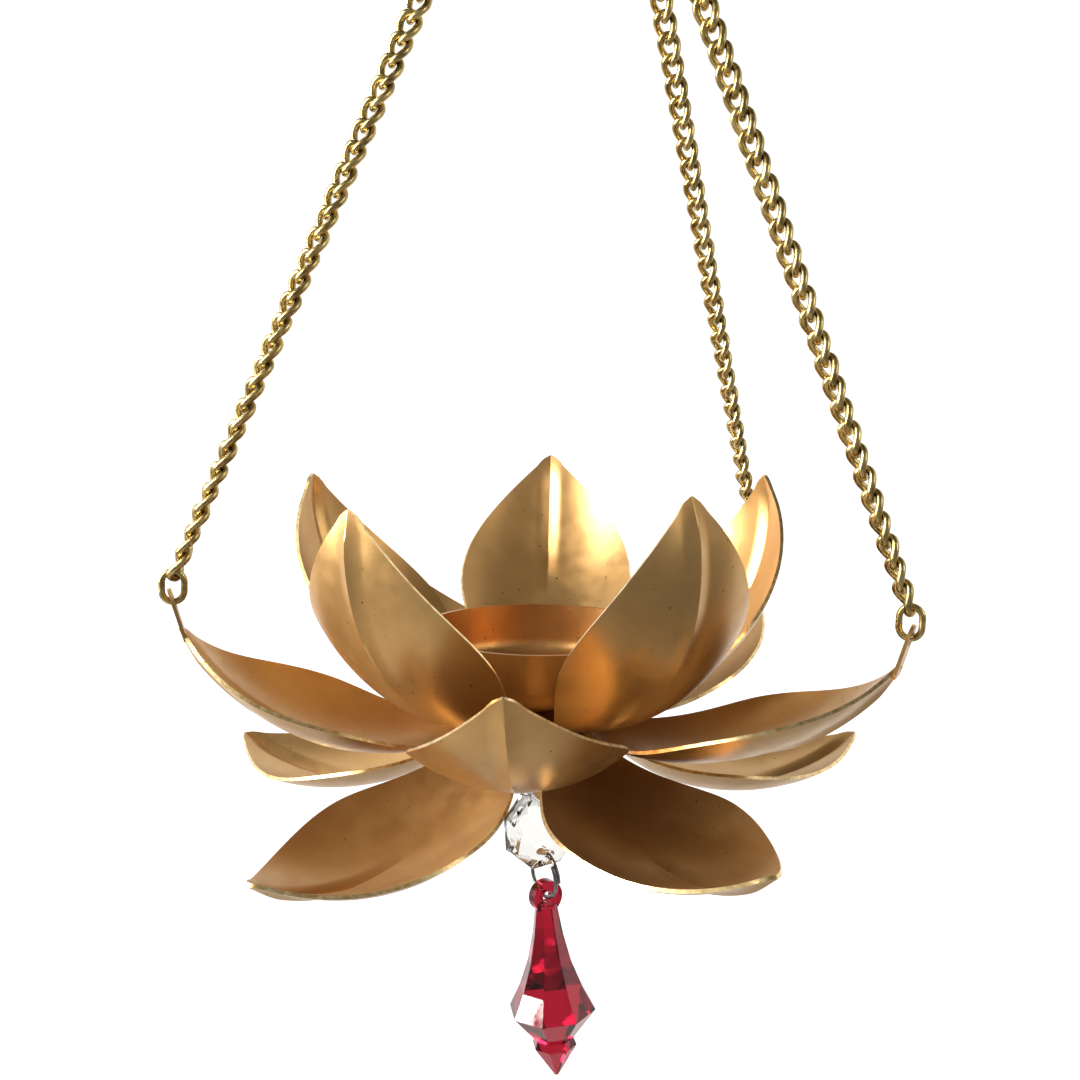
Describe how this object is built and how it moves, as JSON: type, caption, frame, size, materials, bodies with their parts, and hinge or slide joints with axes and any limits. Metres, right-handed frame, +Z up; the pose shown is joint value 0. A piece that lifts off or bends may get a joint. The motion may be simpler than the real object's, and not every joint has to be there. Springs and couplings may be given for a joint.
{
  "type": "hanging candle lamp",
  "caption": "Hanging lotus candle lamp: tiers of dished metal petals around a candle cup, carried by chains from a ring and hook, with a crystal bead and faceted drop below.",
  "frame": {"origin": "the top of the inside of the hook's upper bowl, where it bears on its support", "axes": "+Z up along the line the lamp hangs by, -Y towards the viewer, +X to the viewer's right"},
  "size_m": [0.1236, 0.1253, 0.2978],
  "materials": {
    "gold_sheet": "satin gold paint on stamped steel sheet",
    "gold_cup": "satin gold paint",
    "antique_brass": "antique brass plating, polished",
    "zinc_steel": "zinc-plated steel",
    "dark_steel": "dark plated steel wire",
    "clear_crystal": "clear cut bead",
    "ruby_acrylic": "clear ruby-coloured faceted drop"
  },
  "bodies": {
    "hook": {"s_hook": "antique_brass"},
    "ring": {"top_ring": "antique_brass"},
    "lamp": {"upper_petals": "gold_sheet", "middle_petals": "gold_sheet", "lower_petals": "gold_sheet", "candle_cup": "gold_cup", "cup_spacer": "gold_cup", "tier_washer": "zinc_steel", "lower_washer": "zinc_steel", "centre_screw": "zinc_steel", "eye_nut": "zinc_steel", "chain_left": "antique_brass", "chain_right": "antique_brass", "chain_rear": "antique_brass", "end_link_left": "antique_brass", "end_link_right": "antique_brass", "end_link_rear": "antique_brass"},
    "upper_link": {"bead_ring": "dark_steel"},
    "bead": {"clear_bead": "clear_crystal"},
    "lower_link": {"drop_ring": "dark_steel"},
    "drop": {"red_drop": "ruby_acrylic"}
  },
  "joints": [
    {"name": "ring_swing", "type": "hinge", "parent": "hook", "child": "ring", "pos_m": [0, 0, -0.0369], "axis": [0.7071, -0.7071, 0], "range_deg": [-35, 35]},
    {"name": "lamp_swing", "type": "hinge", "parent": "ring", "child": "lamp", "pos_m": [0, 0, -0.05065], "axis": [0.7071, 0.7071, 0], "range_deg": [-20, 20]},
    {"name": "upper_link_swing", "type": "hinge", "parent": "lamp", "child": "upper_link", "pos_m": [0.00032, 0, -0.23582], "axis": [0.8148, 0.5736, 0.0842], "range_deg": [-25, 25]},
    {"name": "bead_swing", "type": "hinge", "parent": "upper_link", "child": "bead", "pos_m": [0.00103, 0, -0.24268], "axis": [0.5705, -0.8192, 0.0589], "range_deg": [-30, 30]},
    {"name": "lower_link_swing", "type": "hinge", "parent": "bead", "child": "lower_link", "pos_m": [0.00201, 0, -0.25213], "axis": [0.5705, -0.8192, 0.0589], "range_deg": [-25, 25]},
    {"name": "drop_swing", "type": "hinge", "parent": "lower_link", "child": "drop", "pos_m": [0.00244, 0, -0.25636], "axis": [0.8148, 0.5736, 0.0842], "range_deg": [-25, 25]}
  ]
}
